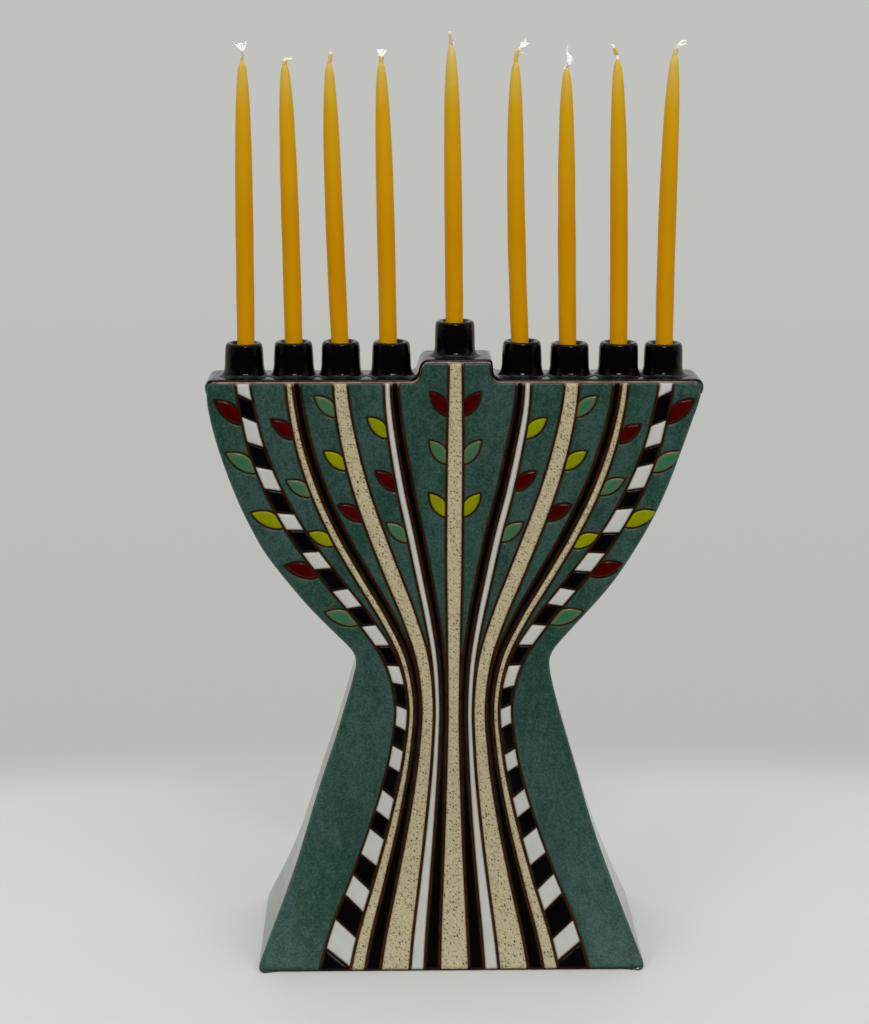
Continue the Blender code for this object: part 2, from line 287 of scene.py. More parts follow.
def field_mesh(x, z, field, spacing):
    """Faces where the field is positive, with their border moved on to its zero line."""
    corners = cell_corners(field > -0.5 * spacing)
    ids = cell_corners(np.arange(field.size).reshape(field.shape))
    count = corners.sum(0)
    quads = ids[:, count == 4].T
    three = count == 3
    missing = np.argmin(corners[:, three], axis=0)
    order = (missing[None, :] + np.array([[1], [2], [3]])) % 4
    triangles = np.take_along_axis(ids[:, three], order, axis=0).T
    if not len(quads):
        return None
    edges = np.vstack([quads[:, [a, (a + 1) % 4]] for a in range(4)]
                      + [triangles[:, [a, (a + 1) % 3]] for a in range(3)])
    keys = np.sort(edges, axis=1)
    _, first, uses = np.unique(keys[:, 0] * field.size + keys[:, 1], return_index=True, return_counts=True)
    border_edges = edges[first[uses == 1]]
    border = np.unique(border_edges)
    gz, gx = np.gradient(field, spacing)
    fx = x.ravel().copy()
    fz = z.ravel().copy()
    depth = np.maximum(field.ravel(), 0.02)
    push = field.ravel()[border] / np.maximum(gx.ravel()[border] ** 2 + gz.ravel()[border] ** 2, 0.3)
    push = np.clip(push, -0.8 * spacing, 0.8 * spacing)
    fx[border] -= push * gx.ravel()[border]
    fz[border] -= push * gz.ravel()[border]
    depth[border] = 0.0
    used = np.unique(np.concatenate([quads.ravel(), triangles.ravel()]))
    renumber = np.full(field.size, -1)
    renumber[used] = np.arange(len(used))
    faces = [tuple(f) for f in renumber[quads].tolist()] + [tuple(f) for f in renumber[triangles].tolist()]
    return fx[used], fz[used], depth[used], faces, renumber[border_edges]


def on_face(x, z, lift, edge):
    """Points of the front face, lifted along its normal and rounded off near its outline."""
    slope = face_slope(z)
    size = np.sqrt(1 + slope ** 2)
    inner = np.clip(EDGE_ROUND - edge, 0, EDGE_ROUND)
    back = EDGE_ROUND - np.sqrt(np.maximum(EDGE_ROUND ** 2 - inner ** 2, 0))
    y = -face_y(z) - lift / size + back
    return np.stack([x, y, z - lift * slope / size], 1)


def mesh_object(name, verts, faces, materials, smooth=True, kinds=None, attributes=()):
    """A linked mesh object from points in mm, with a material for each face and named point values."""
    mesh = bpy.data.meshes.new(name)
    mesh.from_pydata((np.array(verts) * MM).tolist(), [], faces)
    for material in materials:
        mesh.materials.append(material)
    if kinds is not None:
        mesh.polygons.foreach_set("material_index", kinds)
    if smooth:
        mesh.shade_smooth()
    for key, values in attributes:
        mesh.attributes.new(key, "FLOAT", "POINT").data.foreach_set("value", values)
    mesh.validate()
    mesh.update()
    obj = bpy.data.objects.new(name, mesh)
    bpy.context.scene.collection.objects.link(obj)
    return obj


def add_piece(body, slot, replaces, *mesh_parts, **looks):
    """A piece of the part: the body it rides, its slot (not used) and the CAD nodes that it replaces."""
    obj = mesh_object(*mesh_parts, **looks)
    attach(obj, body)
    if replaces:
        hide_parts(*replaces)


def sheet_rim(rows, width):
    """Pairs of neighbours round the border of a sheet of points, in order."""
    rim = [k * width for k in range(rows)] + [(rows - 1) * width + j for j in range(1, width)]
    rim += [k * width + width - 1 for k in range(rows - 2, -1, -1)] + list(range(width - 2, 0, -1))
    return zip(rim, rim[1:] + rim[:1])


def ring_faces(rings, sides):
    """Faces of a closed tube of rings, with both ends capped."""
    faces = []
    for row in range(rings - 1):
        for k in range(sides):
            a = row * sides + k
            b = row * sides + (k + 1) % sides
            faces.append((a, b, b + sides, a + sides))
    last = (rings - 1) * sides
    return faces + [tuple(reversed(range(sides))), tuple(range(last, last + sides))]


def dome(depth, height=GLAZE):
    """Height of a glaze pool by distance from its border: a rolled edge and a faint crown."""
    t = np.clip(depth / 1.15, 0, 1)
    return -SINK + (height + SINK) * np.sqrt(1 - (1 - t) ** 2) + 0.1 * (1 - np.exp(-depth / 3.0))


class Decoration:
    """Cuts the front face into glaze pools. Later cells lie on top of earlier ones."""

    def __init__(self):
        self.grid = Field(GRID)
        self.edge = self.grid.of(OUTLINE)
        top = np.vstack([[(-130, DECK_Z)], STEP, [(130, DECK_Z), (130, -20), (-130, -20)]])
        top_gap = inside_distance(top, self.grid.x, np.maximum(self.grid.z, 250)) - TOP_LINE - 0.15
        self.lip = np.minimum(top_gap, self.grid.z - FOOT_LINE)
        self.rim = np.minimum(self.edge, self.lip)
        self.cells = []
        self.pools = {}

    def add(self, kind, polygon, line=LINE, tiles=None):
        """Adds a cell, without the ends that are too narrow to hold glaze."""
        field = self.grid.of(polygon)
        near = field > line
        for _ in range(4):
            near[1:] |= near[:-1].copy()
            near[:-1] |= near[1:].copy()
            near[:, 1:] |= near[:, :-1].copy()
            near[:, :-1] |= near[:, 1:].copy()
        self.cells.append((kind, np.where(near, field, OUTSIDE), line, tiles))

    def collect(self, kind, field, window, soft=None):
        """Makes one pool; a soft field, where given, sets its depth instead of its border."""
        made = field_mesh(self.grid.x[window], self.grid.z[window], field, GRID)
        if made is None:
            return
        x, z, depth, faces, _ = made
        edge = self.sample(self.edge, x, z)
        if soft is not None:
            depth = self.sample(soft, x, z)
        self.pools.setdefault(kind, []).append((x, z, depth, faces, edge))

    def sample(self, e, x, z):
        """A field's values at free points."""
        u = (x - self.grid.xs[0]) / GRID
        v = (z - self.grid.zs[0]) / GRID
        i = np.clip(u.astype(int), 0, len(self.grid.xs) - 2)
        k = np.clip(v.astype(int), 0, len(self.grid.zs) - 2)
        fu = u - i
        fv = v - k
        low = e[k, i] * (1 - fu) + e[k, i + 1] * fu
        high = e[k + 1, i] * (1 - fu) + e[k + 1, i + 1] * fu
        return np.maximum(low * (1 - fv) + high * fv, 0)

    def cut(self):
        """Turns the cells into pools, from the top one down, and the rest into the ground."""
        cover = np.full(self.grid.x.shape, OUTSIDE)
        for kind, field, line, tiles in reversed(self.cells):
            free = np.minimum(np.minimum(field, -cover) - line, self.rim)
            cover = np.maximum(cover, field)
            rows, columns = np.where(free > 0)
            if not len(rows):
                continue
            low = (self.grid.xs[columns.min()], self.grid.zs[rows.min()])
            high = (self.grid.xs[columns.max()], self.grid.zs[rows.max()])
            if tiles:
                self.cut_tiles(free, tiles)
            else:
                window = self.grid.window(low, high, 1.5)
                self.collect(kind, free[window], window)
        ground = np.minimum(-cover - LEAF_LINE, self.rim)
        window = (slice(None), slice(None))
        self.collect("ground", ground, window, np.minimum(-cover - LEAF_LINE, self.lip))

    def cut_tiles(self, free, tiles):
        """Cuts a band into slanted tiles, white and black in turn."""
        knots, side = tiles
        guide, left, right, _ = branch_lines(knots, 1.0)
        outer = left if side < 0 else right
        places = np.linspace(0, len(guide) - 1, TILE_COUNT + 1)
        places[1:-1] += rng.uniform(-0.12, 0.12, TILE_COUNT - 1) * (places[1] - places[0])
        cuts = []
        for place in places:
            k = int(place)
            slant = TILE_SLANTS[0] + (TILE_SLANTS[1] - TILE_SLANTS[0]) * place / places[-1]
            shift = int(slant * np.linalg.norm(outer[k] - guide[k]))
            far = outer[min(k + shift, len(outer) - 1)]
            direction = (far - guide[k]) / max(np.linalg.norm(far - guide[k]), 1e-6)
            upward = np.array([-direction[1], direction[0]])
            upward *= 1 if upward[1] > 0 else -1
            cuts.append((guide[k], upward, k, k + shift))
        for k in range(TILE_COUNT):
            (a, up_a, low, low_far), (b, up_b, high, high_far) = cuts[k], cuts[k + 1]
            low_far = low_far if k else 0
            corners = np.vstack([guide[low:high + 1], outer[low_far:high_far + 1]])
            window = self.grid.window(corners.min(0), corners.max(0), 2.0)
            x = self.grid.x[window]
            z = self.grid.z[window]
            tile = free[window]
            if k:
                tile = np.minimum(tile, (x - a[0]) * up_a[0] + (z - a[1]) * up_a[1] - JOINT_LINE)
            if k < TILE_COUNT - 1:
                tile = np.minimum(tile, (b[0] - x) * up_b[0] + (b[1] - z) * up_b[1] - JOINT_LINE)
            self.collect("white" if k % 2 else "black", tile, window)


def paint_tree():
    """Lays the cells of the tree in painting order."""
    art = Decoration()
    for k in range(-4, 5):
        outer = abs(k) == 4
        heights = sorted(LEAF_HEIGHTS[k % 2] + (OUTER_LEAF_HEIGHTS if outer else ()))
        size = OUTER_LEAF_SIZE if outer else LEAF_SIZE
        for side in (-1, 1) if k == 0 else (1 if k > 0 else -1,):
            for row, height in enumerate(heights):
                glaze = LEAF_GLAZES[(abs(k) + row) % 3]
                art.add(glaze, leaf_polygon(branch(k), height, side, *size), line=LEAF_LINE)
    for k in (0, 1, -1, 2, -2, 3, -3, 4, -4):
        knots = branch(k)
        side = 1 if k > 0 else -1
        glaze = BRANCH_GLAZES[abs(k)]
        edge = BRANCH_EDGES[abs(k)]
        if glaze == "check":
            art.add("check", band(knots, side), tiles=(knots, side))
        else:
            art.add(glaze, whole_branch(knots))
        if edge:
            art.add(edge, band(knots, side))
    art.cut()
    return art


# ---------------- materials
def new_material(name):
    material = bpy.data.materials.new(name)
    material.use_nodes = True
    tree = material.node_tree
    return material, tree, tree.nodes["Principled BSDF"]


def set_inputs(tree, node, inputs):
    """Links what is a socket and sets what is a value."""
    for key, value in inputs.items():
        if isinstance(value, bpy.types.NodeSocket):
            tree.links.new(value, node.inputs[key])
        else:
            node.inputs[key].default_value = value


def add_node(tree, kind, inputs=None, **settings):
    node = tree.nodes.new(kind)
    for key, value in settings.items():
        setattr(node, key, value)
    set_inputs(tree, node, inputs or {})
    return node


def noise(tree, scale, detail=4.0, roughness=0.55, stretch=(1, 1, 1)):
    place = add_node(tree, "ShaderNodeTexCoord").outputs["Object"]
    if stretch != (1, 1, 1):
        place = add_node(tree, "ShaderNodeMapping", {"Vector": place, "Scale": stretch}).outputs[0]
    made = add_node(tree, "ShaderNodeTexNoise", {
        "Vector": place, "Scale": scale, "Detail": detail, "Roughness": roughness,
    })
    return made.outputs["Fac"]


def map_range(tree, value, low, high, to_low=0.0, to_high=1.0, **settings):
    return add_node(tree, "ShaderNodeMapRange", {
        "Value": value, "From Min": low, "From Max": high, "To Min": to_low, "To Max": to_high,
    }, **settings).outputs[0]


def place_on(tree, axis, source="Object"):
    """One coordinate of the shaded point."""
    place = add_node(tree, "ShaderNodeTexCoord").outputs[source]
    return add_node(tree, "ShaderNodeSeparateXYZ", {"Vector": place}).outputs[axis]


def ramp(tree, value, stops):
    node = add_node(tree, "ShaderNodeValToRGB", {"Fac": value})
    elements = node.color_ramp.elements
    while len(elements) < len(stops):
        elements.new(0.5)
    for element, (place, colour) in zip(elements, stops):
        element.position = place
        element.color = (*colour, 1.0) if isinstance(colour, tuple) else (colour,) * 3 + (1.0,)
    return node.outputs["Color"]


def mix(tree, factor, a, b, blend="MIX"):
    a, b = [(*colour, 1.0) if isinstance(colour, tuple) else colour for colour in (a, b)]
    node = add_node(tree, "ShaderNodeMix", {0: factor, 6: a, 7: b}, data_type="RGBA", blend_type=blend)
    return node.outputs[2]


def bump(tree, shader, height, strength, distance):
    node = add_node(tree, "ShaderNodeBump", {"Height": height, "Strength": strength, "Distance": distance})
    tree.links.new(node.outputs[0], shader.inputs["Normal"])


def pool_edge(tree, width):
    """0 at a pool's border, 1 from the given distance inwards."""
    depth = add_node(tree, "ShaderNodeAttribute", attribute_name="pool_depth").outputs["Fac"]
    return map_range(tree, depth, 0.0, width)


def set_shader(tree, shader, colour, specular, rough, relief, **more):
    """Colour, gloss and relief: rough is (pattern, least, most), relief is (pattern, strength, distance)."""
    pattern, least, most = rough
    set_inputs(tree, shader, {
        "Base Color": colour, "Specular IOR Level": specular,
        "Roughness": ramp(tree, pattern, [(0.3, least), (0.7, most)]),
    } | {key.replace("_", " "): value for key, value in more.items()})
    bump(tree, shader, *relief)


def green_glaze(name, pooled=True, gloss=0.30):
    material, tree, shader = new_material(name)
    fine = noise(tree, 1100, 3, 0.6)
    mottle = noise(tree, 260, 4, 0.6, (1, 1, 0.6))
    cloud = noise(tree, 24, 3, 0.5, (1, 1, 0.45))
    streak = noise(tree, 70, 3, 0.6, (1, 1, 0.3))
    colour = ramp(tree, cloud, [
        (0.36, (0.016, 0.066, 0.040)), (0.5, (0.034, 0.091, 0.064)), (0.62, (0.047, 0.103, 0.090)),
    ])
    for pattern, stops, tint in (
        (streak, [(0.32, 0.7), (0.48, 0.0)], (0.012, 0.050, 0.036)),
        (mottle, [(0.35, 0.4), (0.5, 0.0)], (0.014, 0.054, 0.040)),
        (mottle, [(0.5, 0.0), (0.66, 0.35)], (0.072, 0.132, 0.116)),
        (fine, [(0.36, 0.6), (0.5, 0.0)], (0.006, 0.034, 0.022)),
        (fine, [(0.52, 0.0), (0.66, 0.45)], (0.100, 0.165, 0.146)),
    ):
        colour = mix(tree, ramp(tree, pattern, stops), colour, tint)
    if pooled:
        colour = mix(tree, pool_edge(tree, 0.9), (0.012, 0.026, 0.016), colour)
    set_shader(tree, shader, colour, 0.42, (mottle, gloss, gloss + 0.12),
               (noise(tree, 60, 3, 0.5), 0.25, 0.0006))
    return material


def plain_glaze(name, deep, rim, rough, patch=None, edge_width=0.7, specular=0.5, ripple=0.0):
    """A glossy pool: its own colour, thinner and darker at the border, faintly uneven."""
    material, tree, shader = new_material(name)
    cloud = noise(tree, 110, 3, 0.5)
    colour = mix(tree, ramp(tree, cloud, [(0.35, 0.0), (0.7, 1.0)]), deep, patch or deep)
    # painted shade: the pool colour darkens toward the foot
    colour = painted_foot_shade(tree, mix(tree, pool_edge(tree, edge_width), rim, colour))
    height = noise(tree, 90, 2, 0.5)
    if ripple:
        height = mix(tree, 0.4, height, noise(tree, 360, 3, 0.6))
    set_shader(tree, shader, colour, specular, (cloud, rough, rough + 0.06), (height, 0.18 + ripple, 0.0005))
    return material


def painted_foot_shade(tree, colour):
    """Painted shade: the glaze colour is darkened low down on the body, toward the foot."""
    shade = map_range(tree, place_on(tree, "Z"), 0.0, 0.15)
    return mix(tree, 1.0, colour, ramp(tree, shade, [(0.0, 0.80), (1.0, 1.0)]), "MULTIPLY")


def math_node(tree, operation, a, b):
    return add_node(tree, "ShaderNodeMath", {0: a, 1: b}, operation=operation).outputs[0]


def cream_glaze():
    """A satin pool with two sizes of ragged dark specks."""
    material, tree, shader = new_material("cream_speckled_glaze")
    warp = noise(tree, 900, 3, 0.6)
    ragged = map_range(tree, noise(tree, 2200, 2, 0.6), 0.3, 0.7, -0.0004, 0.0004)
    across = math_node(tree, "ADD", place_on(tree, "X"), ragged)
    upward = math_node(tree, "SUBTRACT", place_on(tree, "Z"), ragged)
    flat = add_node(tree, "ShaderNodeCombineXYZ", {"X": across, "Y": upward})

    def specks(scale, stops):
        cells = add_node(tree, "ShaderNodeTexVoronoi", {"Vector": flat.outputs[0], "Scale": scale},
                         voronoi_dimensions="2D")
        size = add_node(tree, "ShaderNodeSeparateColor", {"Color": cells.outputs["Color"]}).outputs[0]
        spot = math_node(tree, "SUBTRACT", ramp(tree, size, stops), cells.outputs["Distance"])
        return map_range(tree, spot, 0.0, 0.08)

    small = specks(1250.0, [(0.42, 0.02), (0.5, 0.16), (1.0, 0.32)])
    large = specks(700.0, [(0.50, 0.02), (0.6, 0.16), (1.0, 0.34)])
    spots = math_node(tree, "MAXIMUM", small, large)
    base = ramp(tree, warp, [(0.3, (0.60, 0.51, 0.30)), (0.7, (0.77, 0.68, 0.43))])
    base = mix(tree, ramp(tree, noise(tree, 130, 3), [(0.4, 0.0), (0.75, 0.5)]), base, (0.64, 0.54, 0.33))
    colour = mix(tree, spots, base, (0.050, 0.036, 0.022))
    # painted shade: the cream darkens toward the foot
    colour = painted_foot_shade(tree, mix(tree, pool_edge(tree, 0.5), (0.20, 0.13, 0.07), colour))
    set_shader(tree, shader, colour, 0.4, (warp, 0.34, 0.5), (warp, 0.3, 0.0003))
    return material


def clay(name, dark, light):
    material, tree, shader = new_material(name)
    grain = noise(tree, 1400, 4, 0.65)
    stain = noise(tree, 160, 3, 0.6)
    colour = ramp(tree, stain, [(0.35, dark), (0.68, light)])
    colour = mix(tree, ramp(tree, grain, [(0.4, 0.0), (0.62, 0.5)]), colour, tuple(0.6 * c for c in dark))
    set_shader(tree, shader, colour, 0.3, (grain, 0.6, 0.85), (grain, 0.5, 0.0003))
    return material


def front_clay():
    """Oxide-stained lines, with paler bare clay where the top edge was wiped."""
    material, tree, shader = new_material("clay_front")
    grain = noise(tree, 1400, 4, 0.65)
    stain = noise(tree, 190, 3, 0.6)
    line = ramp(tree, stain, [(0.35, (0.020, 0.006, 0.0012)), (0.7, (0.068, 0.019, 0.003))])
    bare = ramp(tree, stain, [(0.35, (0.22, 0.13, 0.10)), (0.7, (0.48, 0.33, 0.27))])
    gap = add_node(tree, "ShaderNodeAttribute", attribute_name="top_gap").outputs["Fac"]
    wiped = map_range(tree, gap, 2.6, 0.9)
    colour = mix(tree, wiped, line, bare)
    colour = mix(tree, ramp(tree, grain, [(0.4, 0.0), (0.65, 0.35)]), colour, (0.02, 0.006, 0.002))
    set_shader(tree, shader, colour, 0.1, (grain, 0.5, 0.75), (grain, 0.4, 0.0003))
    return material


def wax_material():
    """Beeswax, paler toward the tip where the candle thins; the paler tip is painted light, standing in for
    light shining through the thin wax.
    """
    material, tree, shader = new_material("beeswax")
    share = map_range(tree, place_on(tree, "Z"), 0.285, 0.425)  # from the cup to the tip, in metres
    # painted light: the colour pales toward the tip
    colour = ramp(tree, share, [
        (0.0, (0.78, 0.350, 0.0)), (0.4, (0.75, 0.330, 0.0)), (0.8, (0.80, 0.44, 0.01)),
        (0.92, (0.83, 0.56, 0.08)), (1.0, (0.88, 0.68, 0.25)),
    ])
    cloud = noise(tree, 90, 4, 0.55, (1, 1, 0.3))
    colour = mix(tree, ramp(tree, cloud, [(0.4, 0.0), (0.75, 0.35)]), colour, (0.80, 0.43, 0.0))
    set_shader(tree, shader, colour, 0.08, (cloud, 0.34, 0.5),
               (noise(tree, 230, 3, 0.5, (1, 1, 0.35)), 0.35, 0.0004),
               Subsurface_Weight=0.06, Subsurface_Scale=0.004, Subsurface_Radius=(0.6, 0.4, 0.08))
    return material


def cotton_material(name, dark, light, glow):
    material, tree, shader = new_material(name)
    fibre = noise(tree, 2600, 3, 0.6, (1, 1, 0.25))
    colour = ramp(tree, fibre, [(0.3, dark), (0.6, light)])
    # painted light: the emission makes the cotton glow brighter than the lamps light it
    set_shader(tree, shader, colour, 0.1, (fibre, 0.8, 0.95), (fibre, 0.3, 0.0001),
               Emission_Color=colour, Emission_Strength=glow)
    return material


MATERIALS = {
    "ground": green_glaze("green_glaze_front"),
    "side": green_glaze("green_glaze_side", pooled=False, gloss=0.04),
    "white": plain_glaze("white_glaze", (0.74, 0.755, 0.70), (0.30, 0.27, 0.20), 0.20, (0.69, 0.70, 0.65),
                         specular=0.35),
    "black": plain_glaze("black_glaze_pool", (0.002,) * 3, (0.006, 0.003, 0.001), 0.10, specular=0.12),
    "cream": cream_glaze(),
    "lime": plain_glaze("lime_glaze", (0.33, 0.36, 0.0), (0.02, 0.018, 0.004), 0.20, (0.28, 0.31, 0.0),
                        edge_width=0.4, specular=0.2),
    "red": plain_glaze("red_glaze", (0.060, 0.0006, 0.0006), (0.015, 0.001, 0.001), 0.16,
                       (0.10, 0.001, 0.001), specular=0.2),
    "teal": plain_glaze("teal_glaze", (0.022, 0.19, 0.085), (0.14, 0.17, 0.075), 0.20, (0.050, 0.19, 0.10),
                        edge_width=2.6, specular=0.25),
    "clay": front_clay(),
    "inner_clay": clay("clay_inside", (0.22, 0.11, 0.07), (0.40, 0.24, 0.17)),
    "deck": plain_glaze("black_glaze", (0.0015,) * 3, (0.0015,) * 3, 0.05, specular=0.21, ripple=0.6),
    "wax": wax_material(),
    # the last number of each wick material is its painted glow, an emission that is no lamp
    "cotton": cotton_material("cotton_wick", (0.80, 0.80, 0.76), (0.98, 0.98, 0.95), 0.30),
    "waxed": cotton_material("cotton_waxed", (0.78, 0.70, 0.42), (0.95, 0.90, 0.66), 0.16),
    "stub": cotton_material("cotton_soaked", (0.50, 0.45, 0.30), (0.80, 0.72, 0.50), 0.05),
}


# ---------------- ceramic body
def slab_piece(name, material, back, replaces):
    """One face slab as a closed solid, 5 mm thick, with its outer edge rounded."""
    spacing = 1.25
    grid = Field(spacing)
    x, z, depth, faces, border = field_mesh(grid.x, grid.z, grid.of(OUTLINE), spacing)
    depth[depth > 0] = np.maximum(inside_distance(OUTLINE, x, z), 0)[depth > 0]
    outer = on_face(x, z, 0.0, depth)
    slope = face_slope(z)
    inner_y = -np.maximum(face_y(z) - SLAB * np.sqrt(1 + slope ** 2), 2.0)
    inner = np.stack([x, inner_y, z], 1)
    count = len(x)
    all_faces = list(faces) + [tuple(i + count for i in reversed(face)) for face in faces]
    kinds = [0] * len(faces) + [1] * len(faces)
    for a, b in border.tolist():
        all_faces.append((b, a, a + count, b + count))
        kinds.append(0)
    verts = np.vstack([outer, inner])
    if back:
        verts[:, 1] *= -1
        all_faces = [tuple(reversed(face)) for face in all_faces]
    gap = np.interp(x, STEP[:, 0], STEP[:, 1]) - z
    add_piece("ceramic", "green_glaze", replaces, name, verts, all_faces, [material, MATERIALS["inner_clay"]],
              kinds=kinds, attributes=[("top_gap", np.tile(gap, 2))])


def side_piece(name, side, replaces):
    """One side wall: glazed outside and over the slabs' rounded edges, bare clay inside."""
    heights = np.concatenate([FOOT_HEIGHTS, np.arange(4.0, 274.0, 2.0), DECK_Z - np.array([1.6, 0.5])])
    edge = -left_edge(heights) if side < 0 else right_edge(heights)
    edge[:4] -= FOOT_INSETS
    edge[-2:] -= (0.9, 2.2)
    tilt = np.gradient(edge, heights)
    depth = face_y(heights) - EDGE_ROUND
    reach = EDGE_ROUND + SIDE_GLAZE
    roll = [(SIDE_GLAZE - reach * (1 - math.cos(a)), 1.0, reach * math.sin(a))
            for a in np.radians([12, 25, 38, 52, 66, 80])]
    section = [(out, -share, -over) for out, share, over in reversed(roll)]
    section += [(SIDE_GLAZE, share, 0.0) for share in (-1.0, -0.9, -0.7, -0.4, 0.0, 0.4, 0.7, 0.9, 1.0)]
    section += roll
    inner = edge - (SLAB - 0.6) * np.sqrt(1 + np.minimum(abs(tilt), 1.6) ** 2)
    verts = []
    for x, y, z in zip(edge, depth, heights):
        verts += [(side * (x + out), y * share + over, z) for out, share, over in section]
    width = len(section)
    spread = np.linspace(-1, 1, width)
    for x, y, z in zip(inner, depth, heights):
        verts += [(side * x, y * a, z) for a in spread]
    rows = len(heights)
    offset = width * rows
    faces = []
    kinds = []
    for k in range(rows - 1):
        for j in range(width - 1):
            a = k * width + j
            quad = (a, a + 1, a + width + 1, a + width)
            faces.append(quad if side > 0 else quad[::-1])
            kinds.append(0)
            under = tuple(i + offset for i in quad)
            faces.append(under[::-1] if side > 0 else under)
            kinds.append(1)
    for a, b in sheet_rim(rows, width):
        quad = (a, b, b + offset, a + offset)
        faces.append(quad if side > 0 else quad[::-1])
        kinds.append(0)
    add_piece("ceramic", "green_glaze", replaces, name, verts, faces,
              [MATERIALS["side"], MATERIALS["inner_clay"]], kinds=kinds)


def pool_piece(name, parts, material):
    """All the pools of one glaze, each lifted off the clay into a dome."""
    verts = []
    depths = []
    faces = []
    for x, z, depth, part_faces, edge in parts:
        base = sum(len(v) for v in verts)
        verts.append(on_face(x, z, dome(depth), edge))
        depths.append(depth)
        faces += [tuple(i + base for i in face) for face in part_faces]
    add_piece("ceramic", "green_glaze", (), name, np.vstack(verts), faces, [material],
              attributes=[("pool_depth", np.concatenate(depths))])


def deck_piece():
    """The thick black glaze over the decks and the step, as one closed skin."""
    corner = ((0.25, 6.4), (-0.05, 5.3), (-0.35, 4.2), (-0.4, 3.1), (-0.3, 2.0), (0.1, 1.1), (0.9, 0.4),
              (2.3, 0.0), (4.4, 0.0))
    profile = [(inset - DECK_END, DECK_Z - drop) for inset, drop in corner]
    profile += [(x, DECK_Z) for x in np.arange(-104.0, -23.0, 4.0)]
    profile += [tuple(p) for p in STEP]
    profile += [(x, DECK_Z) for x in np.arange(24.0, 105.0, 4.0)]
    profile += [(DECK_END - inset, DECK_Z - drop) for inset, drop in reversed(corner)]
    profile = np.array(profile, float)
    run = np.concatenate([[0], np.cumsum(np.hypot(*np.diff(profile, axis=0).T))])
    s = np.unique(np.concatenate([np.linspace(0, run[-1], 260), run]))
    line = np.stack([np.interp(s, run, profile[:, 0]), np.interp(s, run, profile[:, 1])], 1)
    for _ in range(3):
        line[1:-1] = 0.25 * line[:-2] + 0.5 * line[1:-1] + 0.25 * line[2:]
    along = np.gradient(line, axis=0)
    along /= np.linalg.norm(along, axis=1, keepdims=True)
    normal = np.stack([-along[:, 1], along[:, 0]], 1)
    ends = np.minimum(s - s[0], s[-1] - s)
    half = DECK_HALF - TOP_LINE - 0.1
    border = half - np.array([0.0, 0.12, 0.4, 0.9, 1.8])
    columns = np.concatenate([-border, [-9, -5, 0, 5, 9], border[::-1]])
    gap = half - abs(columns)
    verts = []
    for k, (point, out) in enumerate(zip(line, normal)):
        for y, g in zip(columns, gap):
            lift = float(dome(np.minimum(g, ends[k] * 0.6), 0.5))
            spot = point + out * lift
            verts.append((spot[0], y, spot[1]))
    for point, out in zip(line, normal):
        spot = point - out * 0.35
        verts += [(spot[0], y, spot[1]) for y in columns]
    width = len(columns)
    rows = len(line)
    offset = width * rows
    green = line[:, 1] < DECK_Z - 1.2
    faces = []
    kinds = []
    for k in range(rows - 1):
        for j in range(width - 1):
            a = k * width + j
            quad = (a, a + width, a + width + 1, a + 1)
            faces.append(quad)
            faces.append(tuple(i + offset for i in reversed(quad)))
            kinds += [int(green[k] or green[k + 1])] * 2
    for a, b in sheet_rim(rows, width):
        faces.append((b, a, a + offset, b + offset))
        kinds.append(int(green[a // width]))
    add_piece("ceramic", "black_glaze", (), "deck_glaze", verts, faces,
              [MATERIALS["deck"], MATERIALS["side"]], kinds=kinds)


# A cup's outline: (outwards, up) from its foot, (inwards, down) from its rim, (outwards, down) from the
# edge of its socket and (inwards, up) from the socket's floor.
CUP_FOOT = ((0.5, -0.5), (3.2, 0.0), (2.1, 0.22), (1.2, 0.65), (0.5, 1.4), (0.1, 2.4), (-0.15, 3.6))
CUP_LIP = ((0.0, 1.7), (0.15, 1.0), (0.5, 0.4), (1.0, 0.08), (1.5, 0.0), (2.1, 0.1))
CUP_MOUTH = ((0.35, 0.5), (0.05, 1.1), (0.0, 3.0))
CUP_SOCKET = ((0.0, 1.0), (0.4, 0.25), (1.2, 0.0))
CUP_SIDES = 56
CUP_WOBBLE = 0.008


def cup_piece(number):
    """A thrown cup, a little out of round, with a glaze fillet where it meets the deck."""
    node = f"candle_cup_{number}"
    points = node_points(node)
    low = points[:, 2].min()
    high = points[:, 2].max()
    centre = cup_centre(number)
    reach = np.hypot(points[:, 0] - centre, points[:, 1])
    base = reach.max()
    rim = reach[points[:, 2] > low + 0.8 * (high - low)].max()
    bore = reach[abs(points[:, 2] - high) < 5.0].min()
    floor = points[reach < bore + 0.05][:, 2].min()
    profile = [(base + out, low + 0.25 + up) for out, up in CUP_FOOT]
    for share in (0.34, 0.45, 0.57, 0.7, 0.82):
        swell = 0.12 * math.sin(math.pi * share)
        profile.append((base - 0.2 + (rim - base + 0.2) * share ** 1.2 + swell, low + share * (high - low)))
    profile += [(rim - inward, high - down) for inward, down in CUP_LIP]
    profile += [(bore + out, high - down) for out, down in CUP_MOUTH]
    profile += [(bore - inward, floor + up) for inward, up in CUP_SOCKET]
    phase = random.Random(number).uniform(0, 6.28)
    verts = []
    for radius, z in profile:
        for k in range(CUP_SIDES):
            angle = 2 * math.pi * k / CUP_SIDES
            r = radius * (1 + CUP_WOBBLE * math.sin(2 * angle + phase + 0.05 * z))
            verts.append((centre + r * math.cos(angle), r * math.sin(angle), z))
    add_piece("ceramic", "black_glaze", (node,), f"cup_{number}", verts,
              ring_faces(len(profile), CUP_SIDES), [MATERIALS["deck"]])


# ---------------- candles and wicks
def node_rings(node, sides):
    """Centre, radius and height of the rings that a node's mesh is made of."""
    points = node_points(node)
    rings = []
    for z in np.unique(np.round(points[:, 2], 2)):
        ring = points[abs(points[:, 2] - z) < 0.012]
        if len(ring) >= sides:
            centre = ring[:, :2].mean(0)
            reach = np.hypot(*(ring[:, :2] - centre).T)
            rings.append((z, centre[0], centre[1], reach.max()))
    return np.array(rings)


